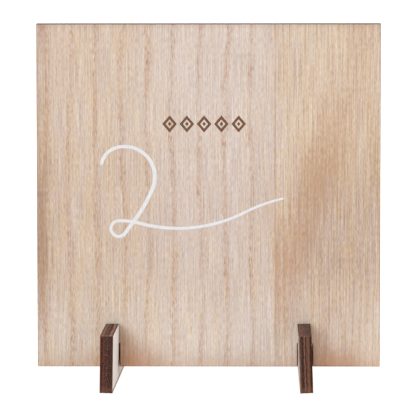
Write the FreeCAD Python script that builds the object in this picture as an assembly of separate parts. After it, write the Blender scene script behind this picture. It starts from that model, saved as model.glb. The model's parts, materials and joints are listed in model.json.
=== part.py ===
"""Table number holder: a square plywood sign that leans in two slotted plywood feet.

The sign and each foot are cut from the same sheet, which is five wood plies glued
together. Every ply is a piece of its own here. Each foot has a notch in its top edge
and the sign has a slot in its bottom edge for each foot, so the three parts cross and
hold each other without fasteners.

Row frame, in millimetres: +Z is up and the feet stand on z = 0, the sign's front looks
towards -Y, and x = 0 is midway between the feet.
"""
import FreeCAD, Part

import math
import os

V = FreeCAD.Vector

# ---------------------------------------------------------------- driving dimensions
SHEET_PLIES = (
    ("face", 0.7),
    ("crossband", 1.3),
    ("core", 1.6),
    ("crossband", 1.3),
    ("face", 0.7),
)
SHEET = sum(thickness for _, thickness in SHEET_PLIES)

SIGN_SIDE = 150.0
SIGN_LEAN = 4.5          # degrees, top edge towards +Y

FOOT_LENGTH = 60.0
FOOT_HEIGHT = 25.4
FOOT_X = 42.2            # middle of each foot, either side of x = 0

SIGN_SLOT_WIDTH = 6.1    # loose, so a foot pushes in from below
SIGN_SLOT_DEPTH = 10.0
FOOT_NOTCH_WIDTH = 6.6   # closer, so the sign leans back no further than this lets it
FOOT_NOTCH_DEPTH = 9.8

REST_GAP = 0.02          # sign's slot above the bottom of the foot's notch
LEAN_GAP = 0.05          # sign's back behind the notch's top rear corner

# Engraved ornament: a row of hollow lozenges burnt into the front face, each with a
# small solid lozenge at its middle.
ORNAMENT_CENTRE = (-1.9, 106.4)
LOZENGE_COUNT = 5
LOZENGE_PITCH = 7.5
LOZENGE_WIDTH = 6.3
LOZENGE_HEIGHT = 7.4
LOZENGE_ISLAND = 0.56    # size of the island left in a lozenge, as a share of the lozenge
LOZENGE_PIP = 0.24       # size of the small lozenge in the island, as the same share
ENGRAVING_DEPTH = 0.3

# Printed numeral: one pen stroke, walked from its start as straight runs and arcs.
# A line is (length,) and an arc is (radius, turn in degrees), with a left turn positive.
PRINT_WIDTH = 1.7
PRINT_FILM = 0.1
NUMERAL_START = (-46.5, 89.3)
NUMERAL_HEADING = 78.0
NUMERAL_STEPS = (
    (9.0, -62.0),
    (13.2, -128.0),
    (60.0, -14.0),
    (8.5,),
    (3.4, -232.0),
    (32.0, -17.0),
    (64.0, 42.0),
    (72.0, -14.0),
)

EXTRA = 1.0              # how far a cutting tool runs past what it cuts

# ---------------------------------------------------------------- worked-out places
LEAN = math.radians(SIGN_LEAN)
NOTCH_FLOOR = FOOT_HEIGHT - FOOT_NOTCH_DEPTH

# The sign is held by its slot's rear top edge, which sits on the notch floor, and by its
# back, which touches the notch's rear corner.
SLOT_REAR_Z = NOTCH_FLOOR + REST_GAP
NOTCH_REAR_Y = FOOT_NOTCH_WIDTH / 2
BACK_AT_NOTCH_Y = NOTCH_REAR_Y - LEAN_GAP / math.cos(LEAN)
SLOT_REAR_Y = BACK_AT_NOTCH_Y - (FOOT_HEIGHT - SLOT_REAR_Z) * math.tan(LEAN)
SIGN_FOOT_Y = SLOT_REAR_Y - SHEET * math.cos(LEAN) - SIGN_SLOT_DEPTH * math.sin(LEAN)
SIGN_FOOT_Z = SLOT_REAR_Z + SHEET * math.sin(LEAN) - SIGN_SLOT_DEPTH * math.cos(LEAN)


# ---------------------------------------------------------------- small helpers
def block(low, high):
    """A box between two opposite corners."""
    size = [b - a for a, b in zip(low, high)]
    return Part.makeBox(size[0], size[1], size[2], V(*low))


def stand_sign(shape):
    """Lean a shape drawn flat (x across, y into the sheet, z up) into the sign's place."""
    shape.rotate(V(0, 0, 0), V(1, 0, 0), -SIGN_LEAN)
    shape.translate(V(0, SIGN_FOOT_Y, SIGN_FOOT_Z))
    return shape


def lozenge_cutter(x, share):
    """A diamond-shaped prism through the front face, a share of the full lozenge's size."""
    z = ORNAMENT_CENTRE[1]
    half_width = share * LOZENGE_WIDTH / 2
    half_height = share * LOZENGE_HEIGHT / 2
    corners = [
        V(x - half_width, -EXTRA, z),
        V(x, -EXTRA, z - half_height),
        V(x + half_width, -EXTRA, z),
        V(x, -EXTRA, z + half_height),
    ]
    outline = Part.makePolygon(corners + corners[:1])
    return Part.Face(outline).extrude(V(0, EXTRA + ENGRAVING_DEPTH, 0))


# ---------------------------------------------------------------- the sign's plies
def ornament_cutter():
    """The hollow lozenges and their pips, as prisms that are cut into the front face."""
    pieces = []
    for index in range(LOZENGE_COUNT):
        x = ORNAMENT_CENTRE[0] + (index - (LOZENGE_COUNT - 1) / 2) * LOZENGE_PITCH
        pieces.append(lozenge_cutter(x, 1.0).cut(lozenge_cutter(x, LOZENGE_ISLAND)))
        pieces.append(lozenge_cutter(x, LOZENGE_PIP))
    return Part.makeCompound(pieces)


def sign_ply(front, thickness):
    """One square ply of the sign, with a slot in its bottom edge for each foot."""
    half = SIGN_SIDE / 2
    ply = block((-half, front, 0), (half, front + thickness, SIGN_SIDE))
    for foot_x in (-FOOT_X, FOOT_X):
        slot = block(
            (foot_x - SIGN_SLOT_WIDTH / 2, front - EXTRA, -EXTRA),
            (foot_x + SIGN_SLOT_WIDTH / 2, front + thickness + EXTRA, SIGN_SLOT_DEPTH),
        )
        ply = ply.cut(slot)
    return ply


def sign_plies():
    """The sign's five plies by name, front to back."""
    places = ("front_veneer", "front_crossband", "core", "rear_crossband", "rear_veneer")
    plies = {}
    front = 0.0
    for place, (_, thickness) in zip(places, SHEET_PLIES):
        plies["sign_" + place] = sign_ply(front, thickness)
        front += thickness
    plies["sign_front_veneer"] = plies["sign_front_veneer"].cut(ornament_cutter())
    return plies


# ---------------------------------------------------------------- the printed numeral
def stroke_line(start, heading, length):
    """A straight run of the pen, as a film on the front face."""
    run = Part.makeBox(length, PRINT_FILM, PRINT_WIDTH, V(0, -PRINT_FILM, -PRINT_WIDTH / 2))
    run.rotate(V(0, 0, 0), V(0, 1, 0), -heading)
    run.translate(V(start[0], 0, start[1]))
    return run


def stroke_dot(centre):
    """The pen's round tip, which closes a joint or an end of the stroke."""
    return Part.makeCylinder(
        PRINT_WIDTH / 2, PRINT_FILM, V(centre[0], -PRINT_FILM, centre[1]), V(0, 1, 0)
    )


def stroke_arc(centre, radius, start_angle, turn):
    """A curved run of the pen: a ring sector about centre, as a film on the front face."""
    angles = [math.radians(start_angle + turn * part) for part in (0, 0.5, 1)]

    def rim(rim_radius):
        return [
            V(centre[0] + rim_radius * math.cos(a), -PRINT_FILM, centre[1] + rim_radius * math.sin(a))
            for a in angles
        ]

    inner = rim(radius - PRINT_WIDTH / 2)
    outer = rim(radius + PRINT_WIDTH / 2)
    edges = [
        Part.Arc(*outer).toShape(),
        Part.makeLine(outer[2], inner[2]),
        Part.Arc(*reversed(inner)).toShape(),
        Part.makeLine(inner[0], outer[0]),
    ]
    return Part.Face(Part.Wire(edges)).extrude(V(0, PRINT_FILM, 0))


def numeral_print():
    """The numeral 2, walked step by step along its pen stroke."""
    place = NUMERAL_START
    heading = NUMERAL_HEADING
    film = stroke_dot(place)
    for step in NUMERAL_STEPS:
        direction = math.radians(heading)
        if len(step) == 1:
            length = step[0]
            film = film.fuse(stroke_line(place, heading, length))
            place = (
                place[0] + length * math.cos(direction),
                place[1] + length * math.sin(direction),
            )
        else:
            radius, turn = step
            side = math.copysign(1, turn)
            centre = (
                place[0] - side * radius * math.sin(direction),
                place[1] + side * radius * math.cos(direction),
            )
            start_angle = heading - side * 90
            film = film.fuse(stroke_arc(centre, radius, start_angle, turn))
            end_angle = math.radians(start_angle + turn)
            place = (
                centre[0] + radius * math.cos(end_angle),
                centre[1] + radius * math.sin(end_angle),
            )
            heading += turn
        film = film.fuse(stroke_dot(place))
    return film.removeSplitter()


# ---------------------------------------------------------------- the feet's plies
def foot_ply(low_x, high_x):
    """One upright ply of a foot, with the notch that the sign stands in."""
    half = FOOT_LENGTH / 2
    ply = block((low_x, -half, 0), (high_x, half, FOOT_HEIGHT))
    notch = block(
        (low_x - EXTRA, -FOOT_NOTCH_WIDTH / 2, NOTCH_FLOOR),
        (high_x + EXTRA, FOOT_NOTCH_WIDTH / 2, FOOT_HEIGHT + EXTRA),
    )
    return ply.cut(notch)


def foot_plies(side, sign):
    """A foot's five plies by name, from the outer face in; sign is its side of x = 0."""
    places = ("outer_veneer", "outer_crossband", "core", "inner_crossband", "inner_veneer")
    plies = {}
    outer = FOOT_X + SHEET / 2
    for place, (_, thickness) in zip(places, SHEET_PLIES):
        edges = sorted((sign * outer, sign * (outer - thickness)))
        plies[side + "_foot_" + place] = foot_ply(*edges)
        outer -= thickness
    return plies


# ---------------------------------------------------------------- write the nodes
def all_nodes():
    """Every node's solid by name, in its place at rest."""
    nodes = {name: stand_sign(ply) for name, ply in sign_plies().items()}
    nodes["sign_numeral_print"] = stand_sign(numeral_print())
    nodes.update(foot_plies("left", -1))
    nodes.update(foot_plies("right", 1))
    return nodes


def write_nodes():
    os.makedirs("parts", exist_ok=True)
    for name, shape in all_nodes().items():
        box = shape.BoundBox
        print(
            f"{name}: valid {shape.isValid()}, solids {len(shape.Solids)}, "
            f"volume {shape.Volume:.1f}, x {box.XMin:.2f}..{box.XMax:.2f}, "
            f"y {box.YMin:.2f}..{box.YMax:.2f}, z {box.ZMin:.2f}..{box.ZMax:.2f}"
        )
        shape.exportStep("parts/" + name + ".step")


write_nodes()
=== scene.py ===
"""Looks for the table number holder: a leaning plywood sign in two slotted plywood feet.

Every visible piece is a mesh made here, one for each CAD node, laid out in the CAD's own
frame. The wood, the laser-burnt edges and the ink are procedural materials that read only
where a point lies on the object.
"""

import json
import math

import bmesh
import bpy
import numpy as np
from mathutils import Matrix, Vector
from mathutils import noise
from mathutils.geometry import delaunay_2d_cdt


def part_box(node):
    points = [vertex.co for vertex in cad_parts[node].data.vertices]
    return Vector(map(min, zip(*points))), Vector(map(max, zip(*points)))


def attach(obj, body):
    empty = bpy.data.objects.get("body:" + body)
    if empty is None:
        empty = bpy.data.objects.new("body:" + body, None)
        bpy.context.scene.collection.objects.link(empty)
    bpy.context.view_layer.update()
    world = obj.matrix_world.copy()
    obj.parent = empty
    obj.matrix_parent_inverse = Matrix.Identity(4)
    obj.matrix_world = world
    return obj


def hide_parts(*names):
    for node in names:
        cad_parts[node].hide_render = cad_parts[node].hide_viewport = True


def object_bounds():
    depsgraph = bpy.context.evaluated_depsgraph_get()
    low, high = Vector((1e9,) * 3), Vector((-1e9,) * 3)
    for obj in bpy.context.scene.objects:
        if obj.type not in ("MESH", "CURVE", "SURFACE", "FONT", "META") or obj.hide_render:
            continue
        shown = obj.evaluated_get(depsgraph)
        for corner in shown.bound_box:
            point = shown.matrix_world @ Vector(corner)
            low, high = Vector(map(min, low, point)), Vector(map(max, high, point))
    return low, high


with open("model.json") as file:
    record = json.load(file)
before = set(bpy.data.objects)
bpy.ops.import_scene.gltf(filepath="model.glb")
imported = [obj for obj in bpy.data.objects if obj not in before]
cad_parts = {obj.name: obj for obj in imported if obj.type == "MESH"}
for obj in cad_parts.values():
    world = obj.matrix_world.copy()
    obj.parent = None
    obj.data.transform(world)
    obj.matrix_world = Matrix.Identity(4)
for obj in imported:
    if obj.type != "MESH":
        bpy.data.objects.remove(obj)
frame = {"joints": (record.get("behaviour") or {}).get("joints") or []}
cad_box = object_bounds()

MM = 0.001

# ------------------------------------------------------------------ places from the frame
SIGN_PLACES = ("front_veneer", "front_crossband", "core", "rear_crossband", "rear_veneer")
FOOT_PLACES = ("outer_veneer", "outer_crossband", "core", "inner_crossband", "inner_veneer")
FOOT_SIDES = {"left": -1, "right": 1}

LIFT_AXIS = next(j["axis"] for j in frame["joints"] if j["name"] == "sign_lift")
LEAN = math.atan2(LIFT_AXIS[1], LIFT_AXIS[2])


def box_mm(node):
    """A node's lowest and highest corners in millimetres."""
    low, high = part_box(node)
    return Vector(low) / MM, Vector(high) / MM


def node_width(node):
    """How far a node reaches along X, in millimetres."""
    low, high = box_mm(node)
    return high.x - low.x


# A foot stands upright, so its plies' widths along X are the sheet's plies.
PLIES = [node_width(f"left_foot_{place}") for place in FOOT_PLACES]
PLY_STARTS = [sum(PLIES[:i]) for i in range(len(PLIES))]
SHEET = sum(PLIES)

SIGN_SIDE = node_width("sign_front_veneer")
sign_low = box_mm("sign_front_veneer")[0]
SIGN_CORNER = Vector((0, sign_low.y, sign_low.z + PLIES[0] * math.sin(LEAN)))

core_low, core_high = box_mm("right_foot_core")
FOOT_LENGTH = core_high.y - core_low.y
FOOT_HEIGHT = core_high.z
FOOT_X = (core_low.x + core_high.x) / 2

# Cuts that a box can't show, as the CAD model has them.
SIGN_SLOT_WIDTH = 6.1
SIGN_SLOT_DEPTH = 10.0
FOOT_NOTCH_WIDTH = 6.6
FOOT_NOTCH_DEPTH = 9.8
NOTCH_FLOOR = FOOT_HEIGHT - FOOT_NOTCH_DEPTH

# The engraved ornament and the printed numeral, as the CAD model has them.
ORNAMENT_CENTRE = (-1.9, 106.4)
LOZENGE_COUNT = 5
LOZENGE_PITCH = 7.5
LOZENGE_WIDTH = 6.3
LOZENGE_HEIGHT = 7.4
LOZENGE_ISLAND = 0.56
LOZENGE_PIP = 0.24
ENGRAVING_DEPTH = 0.3
PRINT_WIDTH = 1.7
PRINT_FILM = 0.1
NUMERAL_START = (-46.5, 89.3)
NUMERAL_HEADING = 78.0
NUMERAL_STEPS = (
    (9.0, -62.0),
    (13.2, -128.0),
    (60.0, -14.0),
    (8.5,),
    (3.4, -232.0),
    (32.0, -17.0),
    (64.0, 42.0),
    (72.0, -14.0),
)

# How each foot sits a little crooked in its loose slot: its shift to the right on the table
# in millimetres, its tilt to the right and its turn to the left in degrees.
FOOT_SEATS = {"left": (-0.03, 1.06, -3.0), "right": (0.09, -1.88, 0.06)}

# ------------------------------------------------------------------ how the laser cut it
CUT_SPACING = 0.6        # between the points along a cut edge
CORNER_RADIUS = 0.35
LOZENGE_RADIUS = CORNER_RADIUS / 3
CUT_WAVE = 0.035         # how far the cut wanders in from its line
WAVE_ALONG = 0.9         # the wander's waves for each millimetre along the cut
WAVE_DOWN = 0.35         # and for each millimetre through the sheet
WAVE_LIFT = 0.4          # added to the waves, so that most of them go inwards
KERF_TAPER = {"sign": 0.28, "foot": 0.06}    # how much wider a cut is where the laser enters
CHAR_DEPTHS = (0.0, 0.05, 0.02, 0.05, 0.0)   # how far each ply is burnt back
GLUE_GROOVE = 0.07       # how much deeper the burn goes at a glue line
FACE_EASE = 0.10         # the sheet's sanded outer arrises
POCKET_SLOPE = 0.06      # how far an engraved wall slopes in towards its floor
SHARP_ANGLE = 30         # degrees between faces, above which their edge stays crisp

# The rings of points down one ply's cut wall: each one's share of the way through the ply,
# and how much of the groove at the ply's front and at its rear it has.
WALL_RINGS = ((0, 1, 0), (0.12, 0.15, 0), (0.5, 0, 0), (0.88, 0, 0.15), (1, 0, 1))

# ------------------------------------------------------------------ how the pen wrote it
PEN_SPACING = 0.4        # between the points along the stroke
PEN_PRESS = 0.80         # the stroke's share of its full width, up and across
PEN_DOWN = 0.20          # and what it gains on the way down
PEN_START = 0.12         # what it gains where the pen is first set down
PEN_START_RUN = 0.125    # and the share of the stroke over which that goes
PEN_FADE = 0.30          # what it has lost at its end
PEN_FADE_POWER = 6
PEN_TIP = range(-75, 76, 15)                 # degrees, the points round an end of the stroke

# ------------------------------------------------------------------ studio and camera
WHITE = (1.0, 1.0, 1.0, 1.0)
ROOM_TINT = (1.0, 0.83, 0.71, 1.0)           # of what the floor and the room throw
FLOOR_HALF = 12.0        # metres, so that the floor reaches past every view
FLOOR_GREY = (0.5, 0.5, 0.5, 1.0)
FLOOR_SEEN = 0.8         # the floor's glow as the camera sees it, which keeps it white
FLOOR_GLOW = 0.55        # and as it falls on the object
BACK_WALL = 1.0          # the room's brightness behind the sign
FRONT_WALL = 0.04        # and in front of it
OVERHEAD = 0.3
RIGHT_FILL = 0.1
SUNS = {
    "key": {"azimuth": -14, "elevation": 12, "strength": 2.05, "spread": 23, "tint": (0.88, 1.0, 1.05)},
    "fill": {"azimuth": 82, "elevation": 14, "strength": 1.9, "spread": 40, "tint": (1.0, 1.0, 1.0)},
}
CAMERA_DISTANCE = 1.3    # metres from the point it aims at
CAMERA_ASIDE = 0.00022   # metres from the middle of the object to that point, to the left
CAMERA_DROP = 0.0019     # and down
CAMERA_TURN = 0.6        # degrees round to the right
CAMERA_PITCH = 8.95      # degrees that it looks down
CAMERA_ROLL = -0.08      # degrees to the left
CAMERA_LENS = 258.8      # millimetres
SENSOR_WIDTH = 36.0


# ------------------------------------------------------------------ where sheets stand
def sign_place():
    """From a flat sheet (x across, y into the sheet, z up the grain) to the leaning sign."""
    return Matrix.Translation(SIGN_CORNER) @ Matrix.Rotation(-LEAN, 4, "X")


def foot_place(side):
    """From a flat sheet, whose y runs from the foot's outer face inwards, to a seated foot."""
    sign = FOOT_SIDES[side]
    shift, tilt, turn = FOOT_SEATS[side]
    lift = SHEET / 2 * math.sin(math.radians(abs(tilt)))
    return (
        Matrix.Translation((sign * FOOT_X + shift, 0, lift))
        @ Matrix.Rotation(math.radians(turn), 4, "Z")
        @ Matrix.Rotation(math.radians(tilt), 4, "Y")
        @ Matrix.Translation((sign * SHEET / 2, 0, 0))
        @ Matrix.Rotation(sign * math.pi / 2, 4, "Z")
    )


# ------------------------------------------------------------------ outlines
def rounded(corners, radius, spacing):
    """Points round a closed outline, with its corners rounded and its sides divided."""
    count = len(corners)
    points = []
    for i in range(count):
        here = Vector(corners[i])
        following = Vector(corners[(i + 1) % count])
        to_last = (Vector(corners[i - 1]) - here).normalized()
        to_next = (following - here).normalized()
        middle = here + (to_last + to_next) * radius * (1 - math.sqrt(0.5))
        start = here + to_next * radius
        end = following - to_next * radius
        points += [here + to_last * radius, middle]
        steps = max(1, round((end - start).length / spacing))
        points += [start.lerp(end, k / steps) for k in range(steps)]
    return [(p.x, p.y) for p in points]


def inward_normals(points):
    """The unit normal that points into a counter-clockwise outline, at each point."""
    flat = np.array(points)
    along = np.roll(flat, -1, axis=0) - np.roll(flat, 1, axis=0)
    along /= np.linalg.norm(along, axis=1)[:, None]
    return np.stack([-along[:, 1], along[:, 0]], axis=1)


def sign_outline():
    """The square sign with its two slots, counter-clockwise from its bottom left corner."""
    half = SIGN_SIDE / 2
    corners = [(-half, 0)]
    for foot_x in (-FOOT_X, FOOT_X):
        low = foot_x - SIGN_SLOT_WIDTH / 2
        high = foot_x + SIGN_SLOT_WIDTH / 2
        corners += [(low, 0), (low, SIGN_SLOT_DEPTH), (high, SIGN_SLOT_DEPTH), (high, 0)]
    corners += [(half, 0), (half, SIGN_SIDE), (-half, SIGN_SIDE)]
    return rounded(corners, CORNER_RADIUS, CUT_SPACING)


def foot_outline():
    """A foot seen from the side, with its notch, counter-clockwise."""
    half = FOOT_LENGTH / 2
    notch = FOOT_NOTCH_WIDTH / 2
    corners = [(-half, 0), (half, 0), (half, FOOT_HEIGHT), (notch, FOOT_HEIGHT)]
    corners += [(notch, NOTCH_FLOOR), (-notch, NOTCH_FLOOR)]
    corners += [(-notch, FOOT_HEIGHT), (-half, FOOT_HEIGHT)]
    return rounded(corners, CORNER_RADIUS, CUT_SPACING)


def lozenge_outline(index, share):
    """One of the ornament's lozenges at a share of its full size, counter-clockwise."""
    x = ORNAMENT_CENTRE[0] + (index - (LOZENGE_COUNT - 1) / 2) * LOZENGE_PITCH
    z = ORNAMENT_CENTRE[1]
    half_width = share * LOZENGE_WIDTH / 2
    half_height = share * LOZENGE_HEIGHT / 2
    corners = [(x, z - half_height), (x + half_width, z), (x, z + half_height), (x - half_width, z)]
    return rounded(corners, LOZENGE_RADIUS, CUT_SPACING)


# ------------------------------------------------------------------ mesh builders
def winding(outline, spots):
    """How many times a closed outline goes round each of the spots, counter-clockwise."""
    x, y = spots[:, :1], spots[:, 1:]
    x1, y1 = np.array(outline).T
    x2, y2 = np.roll(x1, -1), np.roll(y1, -1)
    crosses = (y1 > y) != (y2 > y)
    rise = np.where(y2 == y1, 1.0, y2 - y1)
    to_right = x < x1 + (y - y1) * (x2 - x1) / rise
    return (crosses & to_right).astype(int) @ np.sign(y2 - y1).astype(int)


def triangulated(loops, keep):
    """The points and triangles that fill closed loops where keep says yes of their middles.

    Each triangle is a list of indices into the returned points, and each point comes with
    the index of the loop point that it was, counted through all the loops.
    """
    points = [Vector(p) for loop in loops for p in loop]
    edges = []
    for loop in loops:
        base = len(edges)
        edges += [(base + i, base + (i + 1) % len(loop)) for i in range(len(loop))]
    made, _, faces, origins, _, _ = delaunay_2d_cdt(points, edges, [], 0, 1e-7)
    spots = np.array(made)
    middles = spots[np.array(faces)].mean(axis=1)
    kept = [face for face, wanted in zip(faces, keep(middles)) if wanted]
    return made, kept, [origin[0] if origin else None for origin in origins]


def fill(mesh, loops, vertices, keep, slot=0):
    """Add the triangles between loops of a mesh's own vertices, in a material slot."""
    _, triangles, origins = triangulated(loops, keep)
    for triangle in triangles:
        mesh.faces.new([vertices[origins[i]] for i in triangle]).material_index = slot


def bridge(mesh, low, high, slot):
    """Add the wall of quads between two matching loops of vertices, in a material slot."""
    for i in range(len(low)):
        j = (i + 1) % len(low)
        mesh.faces.new((low[i], low[j], high[j], high[i])).material_index = slot


def ply_rings(outline, ply, taper):
    """The cut wall of one ply of the sheet: a ring of points at each of a few depths."""
    points = np.array(outline)
    normals = inward_normals(outline)
    front = FACE_EASE if ply == 0 else GLUE_GROOVE
    rear = FACE_EASE if ply == len(PLIES) - 1 else GLUE_GROOVE
    rings = []
    for share, of_front, of_rear in WALL_RINGS:
        depth = PLY_STARTS[ply] + share * PLIES[ply]
        waves = [noise.noise((x * WAVE_ALONG, y * WAVE_ALONG, depth * WAVE_DOWN)) for x, y in outline]
        wander = CUT_WAVE * np.maximum(np.array(waves) + WAVE_LIFT, 0)
        inset = CHAR_DEPTHS[ply] + of_front * front + of_rear * rear + wander
        inset += taper * (1 - depth / SHEET)
        rings.append((points + normals * inset[:, None], depth))
    return rings


def ply_mesh(outline, ply, taper, wall_slot, face=fill):
    """A ply of the sheet as a closed mesh, drawn flat; face fills its front cap."""
    mesh = bmesh.new()
    rings = ply_rings(outline, ply, taper)
    layers = [[mesh.verts.new((x, depth, z)) for x, z in points] for points, depth in rings]
    for low, high in zip(layers, layers[1:]):
        bridge(mesh, low, high, wall_slot)
    for ring, layer, filler in ((rings[0], layers[0], face), (rings[-1], layers[-1], fill)):
        rim = [tuple(p) for p in ring[0]]
        filler(mesh, [rim], layer, lambda spots, rim=rim: winding(rim, spots) > 0)
    return mesh


def engraved_face(mesh, loops, rim, inside_rim):
    """The sign's front cap with the ornament's pockets burnt into it.

    Each lozenge is three rings: the pocket's outer wall, the wall round the island that it
    leaves, which slopes the other way, and the wall of the pip in the island.
    """
    walls = ((1.0, POCKET_SLOPE), (LOZENGE_ISLAND, -POCKET_SLOPE), (LOZENGE_PIP, POCKET_SLOPE))
    rings = []
    tops = []
    floors = []
    for index in range(LOZENGE_COUNT):
        for share, slope in walls:
            ring = lozenge_outline(index, share)
            floor_ring = np.array(ring) + inward_normals(ring) * slope
            top = [mesh.verts.new((x, 0, z)) for x, z in ring]
            floor = [mesh.verts.new((x, ENGRAVING_DEPTH, z)) for x, z in floor_ring]
            bridge(mesh, top, floor, 1)
            rings.append(ring)
            tops += top
            floors += floor

    def burnt(spots):
        return sum(winding(ring, spots) for ring in rings) % 2 == 1

    fill(mesh, loops + rings, rim + tops, lambda spots: inside_rim(spots) & ~burnt(spots))
    fill(mesh, rings, floors, burnt, 1)


def numeral_walk():
    """Points and headings along the numeral's pen stroke, with the share walked so far."""
    place = Vector(NUMERAL_START)
    heading = math.radians(NUMERAL_HEADING)
    walk = [(place.copy(), heading)]
    for step in NUMERAL_STEPS:
        turn = math.radians(step[1]) if len(step) == 2 else 0
        length = abs(turn) * step[0] if turn else step[0]
        count = round(length / PEN_SPACING)
        chord = 2 * step[0] * math.sin(abs(turn) / count / 2) if turn else length / count
        for _ in range(count):
            heading += turn / count / 2
            place = place + chord * Vector((math.cos(heading), math.sin(heading)))
            heading += turn / count / 2
            walk.append((place.copy(), heading))
    return [(point, angle, i / (len(walk) - 1)) for i, (point, angle) in enumerate(walk)]


def pen_half_width(heading, share):
    """Half the stroke's width: full on the way down, thinner elsewhere and near its end."""
    press = PEN_PRESS + PEN_DOWN * max(0.0, -math.sin(heading))
    press += PEN_START * max(0.0, 1 - share / PEN_START_RUN)
    return PRINT_WIDTH / 2 * min(1.0, press) * (1 - PEN_FADE * share ** PEN_FADE_POWER)


def numeral_outline():
    """The inked outline: up one side of the stroke, round its end and back."""
    walk = numeral_walk()
    sides = {1: [], -1: []}
    for point, heading, share in walk:
        across = Vector((-math.sin(heading), math.cos(heading))) * pen_half_width(heading, share)
        for side, points in sides.items():
            points.append(point + side * across)
    caps = []
    for (point, heading, share), turned in ((walk[-1], 0), (walk[0], math.pi)):
        width = pen_half_width(heading, share)
        angles = [heading + turned + math.radians(a) for a in PEN_TIP]
        caps.append([point + width * Vector((math.cos(a), math.sin(a))) for a in angles])
    outline = sides[-1] + caps[0] + sides[1][::-1] + caps[1]
    return [(p.x, p.y) for p in outline]


def numeral_mesh():
    """The printed numeral as one closed film that stands on the sign's face."""
    outline = numeral_outline()
    points, triangles, _ = triangulated([outline], lambda spots: winding(outline, spots) != 0)
    mesh = bmesh.new()
    used = sorted({i for triangle in triangles for i in triangle})
    front = {i: mesh.verts.new((points[i].x, -PRINT_FILM, points[i].y)) for i in used}
    back = {i: mesh.verts.new((points[i].x, 0, points[i].y)) for i in used}
    rim = set()
    for a, b, c in triangles:
        mesh.faces.new((front[a], front[b], front[c]))
        mesh.faces.new((back[a], back[c], back[b]))
        rim ^= {frozenset(pair) for pair in ((a, b), (b, c), (c, a))}
    for a, b in map(tuple, rim):
        mesh.faces.new((front[a], front[b], back[b], back[a]))
    return mesh


def piece(name, mesh, place, materials, body):
    """Place a flat mesh, in millimetres, as the visible piece that stands for a CAD node."""
    data = bpy.data.meshes.new(name)
    mesh.transform(Matrix.Scale(MM, 4) @ place)
    bmesh.ops.recalc_face_normals(mesh, faces=mesh.faces[:])
    mesh.to_mesh(data)
    mesh.free()
    data.shade_smooth()
    data.set_sharp_from_angle(angle=math.radians(SHARP_ANGLE))
    for material in materials:
        data.materials.append(material)
    made = bpy.data.objects.new(name, data)
    bpy.context.scene.collection.objects.link(made)
    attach(made, body)
    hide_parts(name.removeprefix("look_"))
    return made


# ------------------------------------------------------------------ shader building blocks
NOISE_ROUGHNESS = 0.55


def shade(tone, light):
    """A linear colour from screen values out of 255, divided by how brightly it is lit."""
    def linear(value):
        share = value / 255
        return share / 12.92 if share <= 0.04045 else ((share + 0.055) / 1.055) ** 2.4

    return tuple(min(1.0, linear(value) / light) for value in tone) + (1.0,)


class Nodes:
    """A node tree, with short calls for the nodes used here."""

    def __init__(self, tree):
        self.tree = tree

    def feed(self, socket, value):
        """Link a socket to another node's output, or set it to a constant."""
        if isinstance(value, bpy.types.NodeSocket):
            self.tree.links.new(value, socket)
        else:
            socket.default_value = value

    def node(self, kind, inputs=(), **settings):
        """A new node with its settings made and its first inputs fed."""
        made = self.tree.nodes.new(kind)
        for name, setting in settings.items():
            setattr(made, name, setting)
        for socket, value in zip(made.inputs, inputs):
            self.feed(socket, value)
        return made

    def seen(self):
        """1 where the camera looks straight at something, 0 where it only sheds light."""
        return self.node("ShaderNodeLightPath").outputs["Is Camera Ray"]

    def split(self, vector):
        """A vector's X, Y and Z."""
        return self.node("ShaderNodeSeparateXYZ", (vector,)).outputs[:]

    def do(self, operation, *values):
        """The result of a math operation on one value or more."""
        return self.node("ShaderNodeMath", values, operation=operation).outputs[0]

    def chain(self, operation, values):
        """Join values two by two with a math operation."""
        total = values[0]
        for value in values[1:]:
            total = self.do(operation, total, value)
        return total

    def add(self, *values):
        return self.chain("ADD", values)

    def times(self, *values):
        return self.chain("MULTIPLY", values)

    def most(self, *values):
        return self.chain("MAXIMUM", values)

    def least(self, *values):
        return self.chain("MINIMUM", values)

    def minus(self, value, taken):
        return self.do("SUBTRACT", value, taken)

    def away(self, value, place=0.0):
        """How far a value lies from a place, either way."""
        return self.do("ABSOLUTE", self.minus(value, place))

    def rise(self, value, low, high, to_low=0.0, to_high=1.0):
        """Ease from to_low, where a value is at low, to to_high, where it is at high."""
        feeds = (value, low, high, to_low, to_high)
        made = self.node("ShaderNodeMapRange", feeds, interpolation_type="SMOOTHSTEP")
        return made.outputs["Result"]

    def fall(self, value, low, high, top=1.0, end=0.0):
        """Ease down from top, where a value is at low, to end, where it is at high."""
        return self.rise(value, low, high, top, end)

    def band(self, value, start, full, fade, end, after=0.0):
        """Ease up from 0 to 1 between start and full, and down to after from fade to end."""
        return self.times(self.rise(value, start, full), self.fall(value, fade, end, 1.0, after))

    def mix(self, factor, a, b):
        """The colour a where factor is 0, and b where it is 1."""
        made = self.node("ShaderNodeMix", data_type="RGBA")
        for index, value in ((0, factor), (6, a), (7, b)):
            self.feed(made.inputs[index], value)
        return made.outputs[2]


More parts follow.
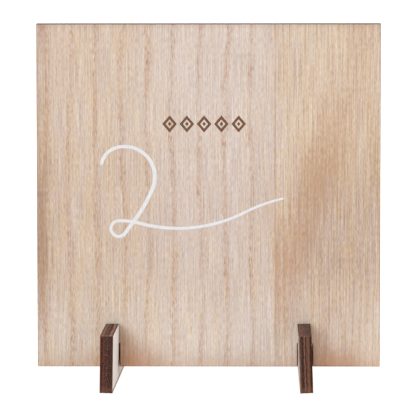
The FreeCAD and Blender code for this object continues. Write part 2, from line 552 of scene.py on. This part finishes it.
class Material(Nodes):
    """A material's node tree; light is how brightly the studio lights its surface."""

    def __init__(self, name, light):
        self.material = bpy.data.materials.new(name)
        self.material.use_nodes = True
        self.light = light
        super().__init__(self.material.node_tree)
        self.surface = self.tree.nodes["Principled BSDF"]

    def sheet_point(self, place):
        """The shaded point's x, y and z on the flat sheet, in mm, from its place."""
        mapping = self.node("ShaderNodeMapping", vector_type="TEXTURE")
        mapping.inputs["Location"].default_value = place.to_translation() * MM
        mapping.inputs["Rotation"].default_value = place.to_euler("XYZ")
        mapping.inputs["Scale"].default_value = (MM, MM, MM)
        self.feed(mapping.inputs["Vector"], self.node("ShaderNodeTexCoord").outputs["Object"])
        return self.split(mapping.outputs["Vector"])

    def grain(self, x, z, across, along, seed, detail=2.0):
        """Noise from -1 to 1 whose blots are about across wide and along tall, in millimetres."""
        spot = (self.times(x, 1 / across), self.times(z, 1 / along), seed)
        made = self.node("ShaderNodeTexNoise", noise_dimensions="3D")
        made.inputs["Scale"].default_value = 1.0
        made.inputs["Detail"].default_value = detail
        made.inputs["Roughness"].default_value = NOISE_ROUGHNESS
        self.feed(made.inputs["Vector"], self.node("ShaderNodeCombineXYZ", spot).outputs[0])
        return self.do("MULTIPLY_ADD", made.outputs[0], 2.0, -1.0)

    def lit(self, tone):
        """The surface colour that shows as a screen colour in the studio."""
        return shade(tone, self.light)

    def stain(self, colour, amount, tone):
        """Mix some of a screen colour into a colour."""
        return self.mix(amount, colour, self.lit(tone))

    def ramp(self, value, stops):
        """A colour ramp with (position, screen colour) stops."""
        made = self.node("ShaderNodeValToRGB", (value,))
        elements = made.color_ramp.elements
        while len(elements) < len(stops):
            elements.new(0.5)
        for element, (position, tone) in zip(elements, stops):
            element.position = position
            element.color = self.lit(tone)
        return made.outputs["Color"]

    def finish(self, colour, roughness, height, shine=0.3):
        """Give the surface its colour, roughness and relief; height is in millimetres."""
        bump = self.node("ShaderNodeBump")
        bump.inputs["Strength"].default_value = 1.0
        bump.inputs["Distance"].default_value = MM
        self.feed(bump.inputs["Height"], height)
        self.feed(self.surface.inputs["Base Color"], colour)
        self.feed(self.surface.inputs["Roughness"], roughness)
        self.feed(self.surface.inputs["Normal"], bump.outputs["Normal"])
        self.surface.inputs["Specular IOR Level"].default_value = shine
        return self.material


# ------------------------------------------------------------------ wood faces
FACE_LIGHT = 1.22        # how brightly the studio lights the sheets' faces
EDGE_LIGHT = 1.12        # and their cut edges

LEAF_SEAM = 29.0         # where the veneer's two leaves meet
RING_PITCH = 11.3        # between growth rings in the quarter-cut leaf
FIRST_RING = -72.0       # where the first of them stands
FLAT_RING_PITCH = 8.7    # between growth rings in the flat-cut leaf
RING_SLANT = 0.364       # how far those lean to the right for each millimetre of height
HEART_X = 16.4           # where the darker heart among them would meet the bottom edge
FOOT_BLEACH = 0.72       # how far the feet's faces are bleached

# How light the veneer is, on the scale of its tones below.
LOW_TONE = 0.63          # near the table
HIGH_TONE = 0.55         # and further up
MIDDLE_TONE = 0.08       # what the sign's middle gains
BROAD_TONE = 0.08        # what broad blotches gain or lose
RING_TONE = -0.17        # what a growth ring takes off
BASE_WARMTH = 0.08       # how far the veneer is yellow rather than cool to begin with

# How strong the stains are.
RING_STAIN = 0.52
SEAM_STAIN = 0.55
FLECK_STAIN = 0.7
PORE_STAIN = 0.12        # away from the rings
RING_PORES = 0.80        # and what a ring adds
FLAT_RING_PORES = -0.40  # which is less in the flat-cut leaf

# Relief in millimetres, and roughness.
FIBRE_RELIEF = 0.018
RING_RELIEF = -0.012
POCKET_RELIEF = 0.03
INK_RELIEF = 0.01
DARK_ROUGHNESS = 0.78    # of the veneer's darkest tone
LIGHT_ROUGHNESS = 0.62   # and of its lightest
POCKET_ROUGHNESS = 0.85
INK_ROUGHNESS = 0.55

# Screen colours, out of 255.
COOL_VENEER = ((0.0, (162, 134, 122)), (0.5, (204, 186, 177)), (1.0, (234, 223, 217)))
YELLOW_VENEER = ((0.0, (170, 134, 104)), (0.5, (210, 186, 162)), (1.0, (237, 222, 203)))
RING_BROWN = (194, 154, 124)
PORE_BROWN = (170, 122, 86)
SEAM_BROWN = (190, 146, 98)
OCHRE = (214, 168, 104)
BLEACHED = (230, 234, 240)
# The next colour is for the painted shadows beside the feet and the smoky line along the top edge.
SHADOW_AND_SMOKE_BROWN = (152, 106, 72)
# The next colour is for the browning above the bottom edge and the painted shadow beside the feet.
BOTTOM_BROWN_AND_SHADOW = (184, 130, 92)
# The next colour is for scorched lines, and for the painted shade of the gaps beside the feet.
SCORCHED_AND_SHADE = (80, 52, 40)
PALE_END = (246, 226, 214)
# The next colour is for painted contact shade along the table and the grey line along a foot's top
# edge.
CONTACT_SHADE_AND_TOP_GREY = (106, 98, 93)
# The next colour is for the painted shade on the feet inside the sign's slots.
SLOT_SHADE = (60, 38, 24)
ENGRAVED = ((0.0, (68, 38, 25)), (0.6, (114, 72, 48)), (1.0, (140, 94, 67)))
THIN_INK = (221, 220, 225)
THICK_INK = (231, 231, 235)


def fibres(s, x, z, seed):
    """The fine upright fibre that all the faces share, about -1 to 1."""
    return s.add(
        s.times(s.grain(x, z, 0.38, 20.0, seed, 1.0), 0.40),
        s.times(s.grain(x, z, 1.3, 40.0, seed + 11), 0.13),
        s.times(s.grain(x, z, 0.36, 2.4, seed + 23), 0.42),
    )


def quarter_cut(s, x, z, seed):
    """Darkness of the quarter-cut leaf's upright growth rings, about 0 to 1."""
    wander = s.add(
        s.times(s.grain(x, z, 26.0, 70.0, seed, 1.0), 3.2),
        s.times(s.grain(x, z, 6.0, 9.0, seed + 5), 0.9),
        s.times(s.grain(x, z, 0.8, 9.0, seed + 6, 1.0), 1.3),
    )
    share = s.do("FRACT", s.times(s.add(x, wander, -FIRST_RING), 1 / RING_PITCH))
    ring = s.most(s.fall(share, 0.0, 0.26), s.rise(share, 0.92, 1.0))
    strength = s.rise(s.grain(x, z, 9.0, 30.0, seed + 9), -0.5, 0.6, 0.35, 1.0)
    speckle = s.rise(s.grain(x, z, 0.6, 2.2, seed + 31), -0.3, 0.4, 0.35, 1.3)
    return s.times(ring, strength, speckle)


def flat_cut(s, x, z, seed):
    """Darkness of the flat-cut leaf, whose growth rings cross it on a slant, about 0 to 1."""
    slant = s.add(
        x,
        s.times(z, -RING_SLANT),
        s.times(s.grain(x, z, 14.0, 40.0, seed), 6.0),
        s.times(s.grain(x, z, 0.8, 14.0, seed + 1, 1.0), 9.0),
    )
    heart = s.band(s.minus(slant, HEART_X), -15.0, 0.0, 2.0, 15.0)
    heart = s.times(heart, s.fall(z, 85.0, 130.0, 1.0, 0.35))
    rings = s.fall(s.do("FRACT", s.times(slant, 1 / FLAT_RING_PITCH)), 0.0, 0.45)
    low = s.times(s.fall(z, 20.0, 70.0, 0.15), s.fall(x, 50.0, 62.0, 1.0, 0.2))
    speckle = s.rise(s.grain(x, z, 0.5, 2.2, seed + 3), -0.5, 0.5, 0.6, 1.2)
    return s.times(s.add(s.times(heart, 0.75), s.times(rings, 0.22), low), speckle)


def front_shading(s, x, z):
    """The front face's broad darker areas: its left edge, the middle of its right leaf, and painted
    shadow low down to the right of the right foot.
    """
    waist = s.band(z, 12.0, 50.0, 72.0, 110.0)
    right_waist = s.times(s.rise(x, LEAF_SEAM + 5, LEAF_SEAM + 18), waist)
    # painted shadow of the right foot, low down to its right
    right_foot = s.times(s.band(x, 41.0, 54.0, 62.0, 70.0, 0.2), s.fall(z, 12.0, 32.0))
    left_edge = s.times(s.fall(x, -74.5, -67.0), s.band(z, 2.0, 25.0, 55.0, 110.0, 0.6))
    left_waist = s.times(s.fall(x, -72.0, -60.0), waist)
    return s.add(
        s.times(right_waist, -0.15),
        s.times(right_foot, -0.16),
        s.times(left_edge, -0.30),
        s.times(waist, -0.05),
        s.times(left_waist, -0.12),
    )


def seam_line(s, x, z):
    """The line where the two leaves meet, stronger in some places than others, 0 to 1."""
    drift = s.times(s.grain(x, z, 3.0, 9.0, 37.0), 0.2)
    beside = s.away(s.add(x, drift), LEAF_SEAM)
    strength = s.rise(s.grain(x, z, 4.0, 12.0, 39.0), -0.5, 0.3, 0.3, 1.0)
    return s.times(s.fall(beside, 0.2, 0.6), strength)


def ochre_flecks(s, x, z, seed):
    """A few narrow ochre flecks in the grain, 0 to 1."""
    spots = s.rise(s.grain(x, z, 0.9, 7.0, seed, 0.0), 0.52, 0.66)
    where = s.rise(s.grain(x, z, 13.0, 25.0, seed + 7, 0.0), 0.15, 0.45)
    return s.times(spots, where)


def warmth(s, x, z, seed, middle_light, on_right):
    """How yellow the veneer is, from -0.7 for cool to 0.7 for yellow."""
    return s.add(
        s.grain(x, z, 4.5, 40.0, seed + 17),
        s.times(s.grain(x, z, 0.7, 6.0, seed + 18, 1.0), 1.1),
        s.times(middle_light, s.rise(z, 30.0, 100.0, -0.35, -0.65)),
        s.times(on_right, s.rise(z, 10.0, 110.0, -0.05, 0.3)),
        BASE_WARMTH,
    )


def wood_face(name, place, seed, border, two_leaves=False, bleach=0.0):
    """Bare pale veneer with upright grain, browned at its border; two leaves may be joined."""
    s = Material(name, FACE_LIGHT)
    x, _, z = s.sheet_point(place)
    fine = fibres(s, x, z, seed)
    dark = quarter_cut(s, x, z, seed + 2)
    on_right = 0.0
    shading = 0.0
    if two_leaves:
        on_right = s.do("GREATER_THAN", x, LEAF_SEAM)
        dark = s.add(dark, s.times(on_right, s.minus(flat_cut(s, x, z, seed + 4), dark)))
        fine = s.add(fine, s.times(s.grain(x, z, 0.75, 60.0, seed + 21, 1.0), on_right, 0.30))
        shading = front_shading(s, x, z)
    middle_light = s.fall(s.away(x, 2.0), 8.0, 45.0)
    tone = s.add(
        fine,
        shading,
        s.times(s.grain(x, z, 20.0, 90.0, seed + 13, 1.0), BROAD_TONE),
        s.times(middle_light, MIDDLE_TONE),
        s.rise(z, 10.0, 45.0, LOW_TONE, HIGH_TONE),
        s.times(dark, RING_TONE),
    )
    warm = s.rise(warmth(s, x, z, seed, middle_light, on_right), -0.7, 0.7)
    colour = s.mix(warm, s.ramp(tone, COOL_VENEER), s.ramp(tone, YELLOW_VENEER))
    colour = s.stain(colour, s.times(dark, RING_STAIN), RING_BROWN)
    pores = s.rise(s.grain(x, z, 0.50, 3.0, seed + 27), 0.05, 0.35)
    in_rings = s.times(dark, s.do("MULTIPLY_ADD", on_right, FLAT_RING_PORES, RING_PORES))
    colour = s.stain(colour, s.times(pores, s.add(PORE_STAIN, in_rings)), PORE_BROWN)
    if two_leaves:
        colour = s.stain(colour, s.times(seam_line(s, x, z), SEAM_STAIN), SEAM_BROWN)
    flecks = ochre_flecks(s, x, z, seed + 19)
    colour = s.stain(colour, s.times(flecks, FLECK_STAIN), OCHRE)
    if bleach:
        colour = s.stain(colour, bleach, BLEACHED)
    colour = border(s, colour, x, z)
    height = s.add(s.times(fine, FIBRE_RELIEF), s.times(dark, RING_RELIEF))
    return s.finish(colour, s.rise(tone, 0.0, 1.0, DARK_ROUGHNESS, LIGHT_ROUGHNESS), height)


# ------------------------------------------------------------------ faces beside their cuts
def browned_bottom_and_shadow(s, x, z, above_bottom, from_slot_middle, right_of_foot, by_right_end):
    """How far the sign is browned above its bottom edge, most by the feet; on each foot's right this is
    painted shadow.
    """
    # near a foot, and most on its right, where the browning is painted shadow of the foot
    beside_foot_and_shadow = s.times(
        s.fall(s.away(from_slot_middle), 3.0, 20.0),
        s.rise(right_of_foot, -4.0, 3.0, 0.38, 1.0),
        s.fall(x, -1.0, 1.0, 1.0, 0.35),
    )
    how_warm = s.add(0.28, s.times(beside_foot_and_shadow, 0.52), s.times(by_right_end, 0.14))
    reach = s.add(8.5, s.times(beside_foot_and_shadow, 14.0))
    streaks = s.rise(s.grain(x, z, 0.8, 12.0, 79.0, 1.0), -0.4, 0.4, 0.6, 1.2)
    return s.times(s.fall(above_bottom, 0.5, reach), s.least(how_warm, 0.75), streaks)


def painted_shadow_by_feet(s, x, z, right_of_foot):
    """Painted shadow of each foot on the sign, to its right, and a little further off lower down."""
    near = s.times(
        s.rise(right_of_foot, 0.0, 1.0),
        s.fall(right_of_foot, 5.0, 17.0, 0.28),
        s.fall(z, 10.0, 24.0),
        s.fall(x, -1.0, 1.0, 1.0, 0.2),
    )
    low = s.times(
        s.rise(right_of_foot, 5.0, 12.0),
        s.fall(right_of_foot, 18.0, 29.0, 0.40),
        s.fall(z, 0.0, 16.0),
    )
    return s.add(near, low)


def slot_scorch_and_shade(s, z, from_slot_middle):
    """The scorched line round each of the sign's slots, weaker towards the sign's ends; on the side
    towards the middle it also paints the shade of the gap beside the foot.
    """
    from_slot = s.minus(s.away(from_slot_middle), SIGN_SLOT_WIDTH / 2)
    return s.times(
        s.fall(from_slot, 0.45, 0.85),
        s.fall(z, SIGN_SLOT_DEPTH + 0.5, SIGN_SLOT_DEPTH + 0.8),
        s.fall(from_slot_middle, -0.5, 0.5, 1.0, 0.45),
    )


def sign_border(s, colour, x, z):
    """Brown the sign's face beside the cuts, and paint the feet's shadows and the shade of the slot
    gaps on it.
    """
    flutter = s.times(s.grain(x, z, 1.2, 1.2, 71.0), 0.25)
    out = s.away(x)
    below_top = s.add(s.minus(SIGN_SIDE, z), flutter)
    above_bottom = s.add(z, flutter)
    from_side = s.add(s.minus(SIGN_SIDE / 2, out), flutter)
    from_slot_middle = s.minus(out, FOOT_X)
    right_of_foot = s.times(from_slot_middle, s.do("SIGN", x))
    by_right_end = s.band(x, FOOT_X - 4, FOOT_X + 4, FOOT_X + 15.8, FOOT_X + 29.8, 0.3)
    # painted shadow of the feet, with the smoky line along the top edge
    shadow_and_smoke = s.most(painted_shadow_by_feet(s, x, z, right_of_foot), s.fall(below_top, 0.5, 3.0, 0.15))
    colour = s.stain(colour, shadow_and_smoke, SHADOW_AND_SMOKE_BROWN)
    # browning above the bottom edge, with painted shadow beside the feet
    bottom_brown_and_shadow = browned_bottom_and_shadow(s, x, z, above_bottom, from_slot_middle, right_of_foot, by_right_end)
    colour = s.stain(colour, bottom_brown_and_shadow, BOTTOM_BROWN_AND_SHADOW)
    # scorched lines along the cuts; round the slots they also paint the shade of the gaps beside the
    # feet
    scorch_and_shade = s.most(
        slot_scorch_and_shade(s, z, from_slot_middle),
        s.fall(below_top, 0.3, 0.6, 0.35),
        s.fall(above_bottom, 0.3, 0.7, 0.5),
        s.fall(from_side, 0.3, 0.7, 0.4),
        s.times(s.fall(above_bottom, 0.35, 0.8, 0.9), by_right_end),
    )
    return s.stain(colour, scorch_and_shade, SCORCHED_AND_SHADE)


def painted_slot_shade(s, x, z):
    """Uneven painted shade on a foot's face where it passes through the sign's slot."""
    ragged = s.grain(x, z, 0.5, 3.5, 75.0)
    off_middle = s.add(s.away(x), s.times(ragged, 0.7))
    slot_bottom = NOTCH_FLOOR - SIGN_SLOT_DEPTH
    return s.times(
        s.fall(off_middle, SHEET / 2 - 1.0, SHEET / 2 + 0.4),
        s.rise(s.add(z, ragged), slot_bottom, slot_bottom + 2.0),
        s.rise(ragged, -0.5, 0.3, 0.45, 0.85),
    )


def foot_border(s, colour, x, z):
    """Grey a foot's face along its top edge and with painted contact shade along the table, and paint
    shade on it inside the sign's slot.
    """
    flutter = s.times(s.grain(x, z, 1.2, 1.2, 73.0), 0.15)
    at_end = s.rise(s.away(x), FOOT_LENGTH / 2 - 1.6, FOOT_LENGTH / 2 - 0.5, 0.0, 0.6)
    colour = s.stain(colour, at_end, PALE_END)
    # painted contact shade where the face meets the table
    table_shade = s.fall(s.add(z, flutter), 0.8, 2.0, 0.8)
    at_top = s.fall(s.add(s.minus(FOOT_HEIGHT, z), flutter), 0.2, 0.5, 0.35)
    colour = s.stain(colour, s.most(table_shade, at_top), CONTACT_SHADE_AND_TOP_GREY)
    # painted shade where the foot passes through the sign's slot
    return s.stain(colour, painted_slot_shade(s, x, z), SLOT_SHADE)


def engraving():
    """Laser-burnt pocket floors, darker where they meet their walls."""
    s = Material("sign_engraving", FACE_LIGHT)
    x, _, z = s.sheet_point(sign_place())
    first = ORNAMENT_CENTRE[0] - LOZENGE_COUNT / 2 * LOZENGE_PITCH
    share = s.do("FRACT", s.times(s.minus(x, first), 1 / LOZENGE_PITCH))
    from_middle = s.away(s.times(s.minus(share, 0.5), LOZENGE_PITCH * 2 / LOZENGE_WIDTH))
    from_waist = s.away(s.times(s.minus(z, ORNAMENT_CENTRE[1]), 2 / LOZENGE_HEIGHT))
    reach = s.add(from_middle, from_waist)
    inset = s.least(s.minus(1.0, reach), s.away(reach, LOZENGE_ISLAND), s.away(reach, LOZENGE_PIP))
    mottle = s.grain(x, z, 0.5, 0.8, 83.0, 3.0)
    burn = s.add(s.rise(inset, 0.0, 0.16), s.times(mottle, 0.35))
    return s.finish(s.ramp(burn, ENGRAVED), POCKET_ROUGHNESS, s.times(mottle, POCKET_RELIEF))


def white_ink():
    """Matte white print, laid on a little unevenly."""
    s = Material("numeral_white_ink", FACE_LIGHT)
    x, _, z = s.sheet_point(sign_place())
    cloud = s.grain(x, z, 1.4, 2.0, 61.0, 3.0)
    colour = s.mix(s.rise(cloud, -0.6, 0.6), s.lit(THIN_INK), s.lit(THICK_INK))
    return s.finish(colour, INK_ROUGHNESS, s.times(cloud, INK_RELIEF))


# ------------------------------------------------------------------ burnt edges
# Screen colours of the burnt sheet's cut edge, by share of the way from a foot's outer
# face to its inner one, or from the sign's front to its back.
EDGE_BANDS = {
    "sign": (
        (0.00, (104, 66, 48)), (0.12, (84, 50, 38)), (0.16, (52, 28, 22)), (0.34, (70, 42, 32)),
        (0.38, (44, 24, 20)), (0.50, (92, 62, 46)), (0.62, (48, 26, 22)), (0.82, (66, 40, 30)),
        (0.88, (98, 62, 46)),
    ),
    "left": (
        (0.00, (92, 50, 40)), (0.18, (76, 36, 28)), (0.25, (98, 58, 46)), (0.38, (86, 52, 40)),
        (0.47, (66, 40, 32)), (0.56, (80, 54, 48)), (0.70, (62, 38, 34)), (0.95, (84, 54, 44)),
    ),
    "right": (
        (0.00, (58, 24, 20)), (0.12, (66, 34, 27)), (0.23, (104, 70, 51)), (0.36, (130, 88, 69)),
        (0.46, (58, 28, 21)), (0.52, (66, 36, 29)), (0.58, (134, 100, 88)), (0.66, (66, 38, 32)),
        (0.77, (54, 28, 23)), (0.97, (130, 98, 82)),
    ),
}
# The same for the tops of the feet, in bands of their own, paler with painted light from above and
# painted reflection.
LIT_TOP_BANDS = {
    "left": (
        (0.00, (100, 72, 62)), (0.18, (158, 121, 107)), (0.37, (102, 74, 64)), (0.46, (122, 95, 87)),
        (0.62, (64, 44, 36)), (0.77, (178, 143, 129)), (0.87, (154, 120, 106)), (0.98, (84, 58, 50)),
    ),
    "right": (
        (0.00, (92, 64, 56)), (0.20, (108, 84, 78)), (0.38, (100, 78, 72)), (0.55, (112, 88, 78)),
        (0.70, (124, 94, 82)), (0.88, (134, 102, 87)), (0.98, (96, 66, 54)),
    ),
}
CHAR = (30, 14, 13)
BURNT_GLUE = (34, 16, 13)
ASH = (120, 98, 90)
TOP_DARK = (64, 42, 36)
TOP_PALE = (154, 114, 96)
NOTCH_SHADE_AND_BURN = (58, 36, 30)
CORNER_HIGHLIGHT = (160, 136, 124)
LOW_PALE = (140, 98, 78)
TABLE_DARK = (34, 16, 15)
GLUE_STAIN = 0.45
CORE_MIDDLE = 0.55       # where ash gathers most, as a share of the way across
EDGE_RELIEF = 0.03
SMOOTH_CHAR = 0.6        # roughness where there is least ash
ROUGH_ASH = 0.85         # and where there is most
EDGE_SHINE = 0.06


def charred_plies(s, across, bands, ash, mottle):
    """The plies' bands with their charred blots, dark glue lines and ash specks."""
    colour = s.stain(s.ramp(across, bands), s.rise(mottle, 0.0, 0.4, 0.0, 0.6), CHAR)
    glue_lines = [s.fall(s.away(across, start / SHEET), 0.012, 0.035) for start in PLY_STARTS[1:]]
    colour = s.stain(colour, s.times(s.most(*glue_lines), GLUE_STAIN), BURNT_GLUE)
    in_core = s.fall(s.away(across, CORE_MIDDLE), 0.10, 0.30, 0.85, 0.25)
    return s.stain(colour, s.times(s.rise(ash, 0.05, 0.35), in_core), ASH)


def lit_foot_top(s, x, y, across, bands):
    """The top of a foot: its own bands, paler with painted light from above, blotched, and darker
    beside the notch with painted shade where the sign stands in it, over the burnt arris.
    """
    blotch = s.grain(x, y, 4.5, 0.9, 43.0)
    top = s.stain(s.ramp(across, bands), s.fall(blotch, -0.35, -0.05, 0.55), TOP_DARK)
    top = s.stain(top, s.rise(blotch, 0.05, 0.40, 0.0, 0.55), TOP_PALE)
    from_notch = s.minus(s.away(x), FOOT_NOTCH_WIDTH / 2)
    # painted shade in the crease where the sign stands in the notch, over the burnt arris
    return s.stain(top, s.fall(from_notch, 0.3, 1.5, 0.7), NOTCH_SHADE_AND_BURN)


def foot_end(s, colour, x, z, ash):
    """A foot's cut ends: a painted highlight on the top corner, flecked with ash, paler lower down and
    darkest at the table.
    """
    near_end = s.rise(s.away(x), FOOT_LENGTH / 2 - 0.45, FOOT_LENGTH / 2 - 0.2)
    near_top = s.rise(z, FOOT_HEIGHT - 0.7, FOOT_HEIGHT - 0.3)
    # painted highlight on the top corner of each end, flecked with ash
    corner_highlight = s.times(near_end, near_top, s.rise(ash, -0.05, 0.25))
    colour = s.stain(colour, s.times(corner_highlight, 0.6), CORNER_HIGHLIGHT)
    low = s.times(s.fall(z, 1.0, 4.0), s.rise(ash, -0.2, 0.4, 0.1, 0.6))
    colour = s.stain(colour, low, LOW_PALE)
    # darker along the table
    return s.stain(colour, s.fall(z, 0.3, 0.7, 0.6), TABLE_DARK)


def burnt_edge(name, place, bands, lit_top_bands=None):
    """The laser-cut edge of the sheet: charred plies with ash speckle and fine striations.

    A foot's top has bands of its own, paler with painted light from above, and its arris at the table
    is darkest.
    """
    s = Material(name, EDGE_LIGHT)
    x, y, z = s.sheet_point(place)
    run = s.add(x, z)
    drift = s.times(s.grain(run, y, 2.5, 0.7, 41.0), 0.09)
    across = s.add(s.times(y, 1 / SHEET), drift)
    ash = s.grain(run, y, 0.8, 0.35, 53.0)
    mottle = s.grain(run, y, 1.5, 0.4, 47.0, 3.0)
    colour = charred_plies(s, across, bands, ash, mottle)
    if lit_top_bands:
        # the top is paler: painted light from above and painted reflection
        on_lit_top = s.rise(z, FOOT_HEIGHT - 0.40, FOOT_HEIGHT - 0.15)
        colour = s.mix(on_lit_top, colour, lit_foot_top(s, x, y, across, lit_top_bands))
        colour = foot_end(s, colour, x, z, ash)
    striations = s.grain(run, y, 0.22, 1.4, 59.0)
    height = s.times(s.add(striations, mottle), EDGE_RELIEF)
    return s.finish(colour, s.rise(ash, -0.4, 0.6, SMOOTH_CHAR, ROUGH_ASH), height, EDGE_SHINE)


# ------------------------------------------------------------------ the pieces
def build_sign():
    """The sign's five plies and the printed numeral."""
    place = sign_place()
    outline = sign_outline()
    edge = burnt_edge("sign_cut_edge", place, EDGE_BANDS["sign"])
    front = wood_face("sign_front_wood", place, 3.0, sign_border, two_leaves=True)
    rear = wood_face("sign_rear_wood", place, 67.0, sign_border)
    looks = {"front_veneer": [front, engraving(), edge], "rear_veneer": [rear, edge]}
    for ply, where in enumerate(SIGN_PLACES):
        materials = looks.get(where, [edge])
        face = engraved_face if where == "front_veneer" else fill
        mesh = ply_mesh(outline, ply, KERF_TAPER["sign"], len(materials) - 1, face)
        piece("look_sign_" + where, mesh, place, materials, "sign")
    piece("look_sign_numeral_print", numeral_mesh(), place, [white_ink()], "sign")


def build_foot(side):
    """One foot's five plies."""
    place = foot_place(side)
    outline = foot_outline()
    edge = burnt_edge(f"{side}_foot_cut_edge", place, EDGE_BANDS[side], LIT_TOP_BANDS[side])
    seed = 101.0 + 10 * FOOT_SIDES[side]
    outer = wood_face(f"{side}_foot_outer_wood", place, seed, foot_border, bleach=FOOT_BLEACH)
    inner = wood_face(f"{side}_foot_inner_wood", place, seed + 30, foot_border, bleach=FOOT_BLEACH)
    looks = {"outer_veneer": [outer, edge], "inner_veneer": [inner, edge]}
    for ply, where in enumerate(FOOT_PLACES):
        materials = looks.get(where, [edge])
        mesh = ply_mesh(outline, ply, KERF_TAPER["foot"], len(materials) - 1)
        piece(f"look_{side}_foot_{where}", mesh, place, materials, side + "_foot")


build_sign()
for foot_side in FOOT_SIDES:
    build_foot(foot_side)


# ------------------------------------------------------------------ studio
def build_floor():
    """A plain white floor, large enough to reach past every view."""
    corners = ((-1, -1), (1, -1), (1, 1), (-1, 1))
    mesh = bmesh.new()
    mesh.faces.new([mesh.verts.new((FLOOR_HALF * x, FLOOR_HALF * y, 0)) for x, y in corners])
    data = bpy.data.meshes.new("floor")
    mesh.to_mesh(data)
    mesh.free()
    s = Material("floor_white", 1.0)
    seen = s.seen()
    s.surface.inputs["Base Color"].default_value = FLOOR_GREY
    s.surface.inputs["Roughness"].default_value = 0.9
    s.feed(s.surface.inputs["Emission Color"], s.mix(seen, ROOM_TINT, WHITE))
    s.feed(s.surface.inputs["Emission Strength"], s.rise(seen, 0.0, 1.0, FLOOR_GLOW, FLOOR_SEEN))
    data.materials.append(s.material)
    floor = bpy.data.objects.new("floor", data)
    bpy.context.scene.collection.objects.link(floor)


def build_world():
    """A soft white room, brightest behind the sign and overhead, and plain white to look at."""
    world = bpy.data.worlds.new("studio")
    world.use_nodes = True
    s = Nodes(world.node_tree)
    background = s.tree.nodes["Background"]
    seen = s.seen()
    x, y, z = s.split(s.node("ShaderNodeTexCoord").outputs["Generated"])
    overhead = s.times(s.do("POWER", s.most(z, 0.0), 2.0), OVERHEAD)
    sideways = s.times(s.most(x, 0.0), RIGHT_FILL)
    behind = s.times(y, (BACK_WALL - FRONT_WALL) / 2)
    walls = s.add(behind, (BACK_WALL + FRONT_WALL) / 2)
    s.feed(background.inputs["Color"], s.mix(seen, ROOM_TINT, WHITE))
    s.feed(background.inputs["Strength"], s.most(s.add(overhead, sideways, walls), seen))
    bpy.context.scene.world = world


def add_sun(name, azimuth, elevation, strength, spread, tint):
    """A soft distant light; azimuth is to the right of the camera's side, in degrees."""
    light = bpy.data.lights.new(name, "SUN")
    light.energy = strength
    light.color = tint
    light.angle = math.radians(spread)
    lamp = bpy.data.objects.new(name, light)
    bpy.context.scene.collection.objects.link(lamp)
    turn = math.radians(azimuth)
    rise = math.radians(elevation)
    level = math.cos(rise)
    towards = Vector((math.sin(turn) * level, -math.cos(turn) * level, math.sin(rise)))
    lamp.rotation_euler = towards.to_track_quat("Z", "Y").to_euler()


def add_camera():
    """Nearly square on to the sign, a little to its right and above it."""
    low, high = cad_box
    aim = (low + high) / 2 - Vector((CAMERA_ASIDE, 0, CAMERA_DROP))
    turned = Matrix.Rotation(math.radians(CAMERA_TURN), 4, "Z")
    pitched = Matrix.Rotation(math.radians(90 - CAMERA_PITCH), 4, "X")
    rolled = Matrix.Rotation(math.radians(CAMERA_ROLL), 4, "Z")
    data = bpy.data.cameras.new("camera")
    data.lens = CAMERA_LENS
    data.sensor_width = SENSOR_WIDTH
    camera = bpy.data.objects.new("camera", data)
    bpy.context.scene.collection.objects.link(camera)
    camera.matrix_world = (
        Matrix.Translation(aim)
        @ turned @ pitched @ rolled
        @ Matrix.Translation((0, 0, CAMERA_DISTANCE))
    )
    bpy.context.scene.camera = camera


build_floor()
build_world()
for sun, settings in SUNS.items():
    add_sun(sun, **settings)
add_camera()
bpy.context.scene.view_settings.view_transform = "Standard"
